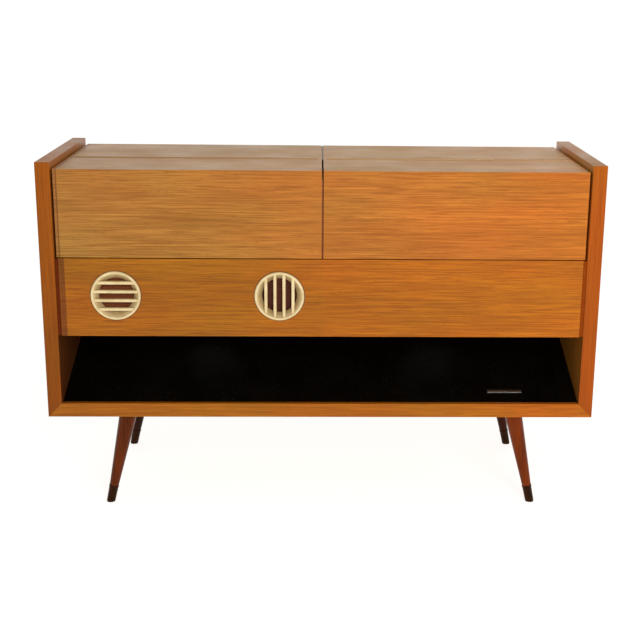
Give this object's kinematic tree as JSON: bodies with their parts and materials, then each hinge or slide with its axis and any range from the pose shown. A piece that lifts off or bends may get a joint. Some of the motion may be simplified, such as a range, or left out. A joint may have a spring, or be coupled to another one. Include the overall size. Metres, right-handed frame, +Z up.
{
  "type": "radio phonograph console",
  "caption": "Low wooden radio phonograph console on splayed tapered legs, with corner lids over radio and record player, round grilles and an open niche over a black reflector.",
  "frame": {"origin": "on the floor under the middle of the cabinet", "axes": "+X to the right seen from the front, +Y to the back, +Z up"},
  "size_m": [1.2, 0.419, 0.772],
  "materials": {
    "black_board": "satin black lacquer",
    "brass": "plain brass",
    "bright_bar": "bright blank bar",
    "cloth": "dark brown loudspeaker cloth",
    "cream_plastic": "aged cream moulding",
    "dark_plastic": "dark brown moulding",
    "ferrule": "blackened brass",
    "glass": "clear flat glass",
    "grey_paint": "warm grey enamel",
    "hardboard": "brown hardboard, matt",
    "ivory": "ivory key tops and knobs",
    "paper_cone": "black paper cone",
    "platter_metal": "turned casting",
    "rubber": "matt black rubber",
    "steel": "zinc-plated steel",
    "wood_front": "satin lacquered veneer, straight horizontal grain",
    "wood_inner": "plain lacquered inner board",
    "wood_leg": "dark stained turned hardwood, satin",
    "wood_side": "satin lacquered veneer, vertical grain on the edges"
  },
  "bodies": {
    "cabinet": {"arm_supports": "dark_plastic", "back_panel": "hardboard", "badge_bar": "bright_bar", "bottom_board": "wood_side", "centre_partition": "wood_inner", "compartment_floor": "wood_inner", "dial_glass": "glass", "end_wall_left": "wood_inner", "end_wall_right": "wood_inner", "fixed_hinge_leaves": "brass", "grille_cloth": "cloth", "grille_left": "cream_plastic", "grille_right": "cream_plastic", "hinge_pins": "brass", "leg_ferrules": "ferrule", "leg_front_left": "wood_leg", "leg_front_right": "wood_leg", "leg_rear_left": "wood_leg", "leg_rear_right": "wood_leg", "leg_studs": "steel", "mains_gland": "rubber", "mains_transformer": "steel", "middle_panel": "wood_front", "player_motor": "steel", "player_plate": "grey_paint", "radio_chassis": "steel", "radio_front": "dark_plastic", "radio_valves": "glass", "rear_screws": "steel", "rear_top_left": "wood_front", "rear_top_right": "wood_front", "reflector_board": "black_board", "side_board_left": "wood_side", "side_board_right": "wood_side", "speaker_baskets": "grey_paint", "speaker_board": "wood_inner", "speaker_cones": "paper_cone", "tuning_capacitor": "steel"},
    "lid_left": {"lid_left_top": "wood_front", "lid_left_front": "wood_front", "lid_left_hinge_leaf": "brass"},
    "lid_right": {"lid_right_top": "wood_front", "lid_right_front": "wood_front", "lid_right_hinge_leaf": "brass"},
    "turntable": {"platter": "platter_metal", "platter_mat": "rubber", "record_spindle": "steel"},
    "pulley": {"motor_pulley": "brass"},
    "idler": {"idler_wheel": "rubber"},
    "arm_swivel": {"arm_gimbal": "brass"},
    "arm": {"tonearm": "ivory"},
    "speed_selector": {"speed_knob": "ivory"},
    "tuning": {"tuning_knob": "ivory"},
    "volume": {"volume_knob": "ivory"},
    "tone": {"tone_knob": "ivory"},
    "pointer": {"dial_pointer": "brass"},
    "piano_key_1": {"key_1": "ivory"},
    "piano_key_2": {"key_2": "ivory"},
    "piano_key_3": {"key_3": "ivory"},
    "piano_key_4": {"key_4": "ivory"}
  },
  "joints": [
    {"name": "lid_left_hinge", "type": "hinge", "parent": "cabinet", "child": "lid_left", "pos_m": [-0.2826, -0.0265, 0.7584], "axis": [-1, 0, 0], "range_deg": [0, 176]},
    {"name": "lid_right_hinge", "type": "hinge", "parent": "cabinet", "child": "lid_right", "pos_m": [0.2826, -0.0265, 0.7584], "axis": [-1, 0, 0], "range_deg": [0, 176]},
    {"name": "turntable_spin", "type": "hinge", "parent": "cabinet", "child": "turntable", "pos_m": [0.232, -0.04, 0.61], "axis": [0, 0, -1], "continuous": true},
    {"name": "idler_spin", "type": "hinge", "parent": "cabinet", "child": "idler", "pos_m": [0.29896, 0.02696, 0.606], "axis": [0, 0, -1], "continuous": true},
    {"name": "pulley_spin", "type": "hinge", "parent": "cabinet", "child": "pulley", "pos_m": [0.27754, 0.00554, 0.606], "axis": [0, 0, -1], "continuous": true},
    {"name": "arm_swing", "type": "hinge", "parent": "cabinet", "child": "arm_swivel", "pos_m": [0.415, 0.07, 0.62], "axis": [0, 0, -1], "range_deg": [0, 46]},
    {"name": "arm_lift", "type": "hinge", "parent": "arm_swivel", "child": "arm", "pos_m": [0.415, 0.07, 0.632], "axis": [-1, 0, 0], "range_deg": [0, 10]},
    {"name": "speed_turn", "type": "hinge", "parent": "cabinet", "child": "speed_selector", "pos_m": [0.372, -0.16, 0.6], "axis": [0, 0, -1], "range_deg": [-60, 60]},
    {"name": "tuning_turn", "type": "hinge", "parent": "cabinet", "child": "tuning", "pos_m": [-0.0715, -0.14171, 0.61772], "axis": [0, 0.7193, -0.6947], "range_deg": [-1260, 1260]},
    {"name": "volume_turn", "type": "hinge", "parent": "cabinet", "child": "volume", "pos_m": [-0.4815, -0.14171, 0.61772], "axis": [0, 0.7193, -0.6947], "range_deg": [0, 270]},
    {"name": "tone_turn", "type": "hinge", "parent": "cabinet", "child": "tone", "pos_m": [-0.0715, -0.08336, 0.67815], "axis": [0, 0.7193, -0.6947], "range_deg": [-135, 135]},
    {"name": "pointer_slide", "type": "slide", "parent": "cabinet", "child": "pointer", "axis": [1, 0, 0], "range_m": [-0.14, 0.14]},
    {"name": "key_1_press", "type": "slide", "parent": "cabinet", "child": "piano_key_1", "axis": [0, 0.7193, -0.6947], "range_m": [0, 0.004], "stiffness_N_per_m": 400},
    {"name": "key_2_press", "type": "slide", "parent": "cabinet", "child": "piano_key_2", "axis": [0, 0.7193, -0.6947], "range_m": [0, 0.004], "stiffness_N_per_m": 400},
    {"name": "key_3_press", "type": "slide", "parent": "cabinet", "child": "piano_key_3", "axis": [0, 0.7193, -0.6947], "range_m": [0, 0.004], "stiffness_N_per_m": 400},
    {"name": "key_4_press", "type": "slide", "parent": "cabinet", "child": "piano_key_4", "axis": [0, 0.7193, -0.6947], "range_m": [0, 0.004], "stiffness_N_per_m": 400}
  ],
  "couplings": [
    {"joint": "idler_spin", "follows": "turntable_spin", "ratio": 4.8},
    {"joint": "pulley_spin", "follows": "turntable_spin", "ratio": -24},
    {"joint": "pointer_slide", "follows": "tuning_turn", "m_per_rad": 0.0063662}
  ]
}
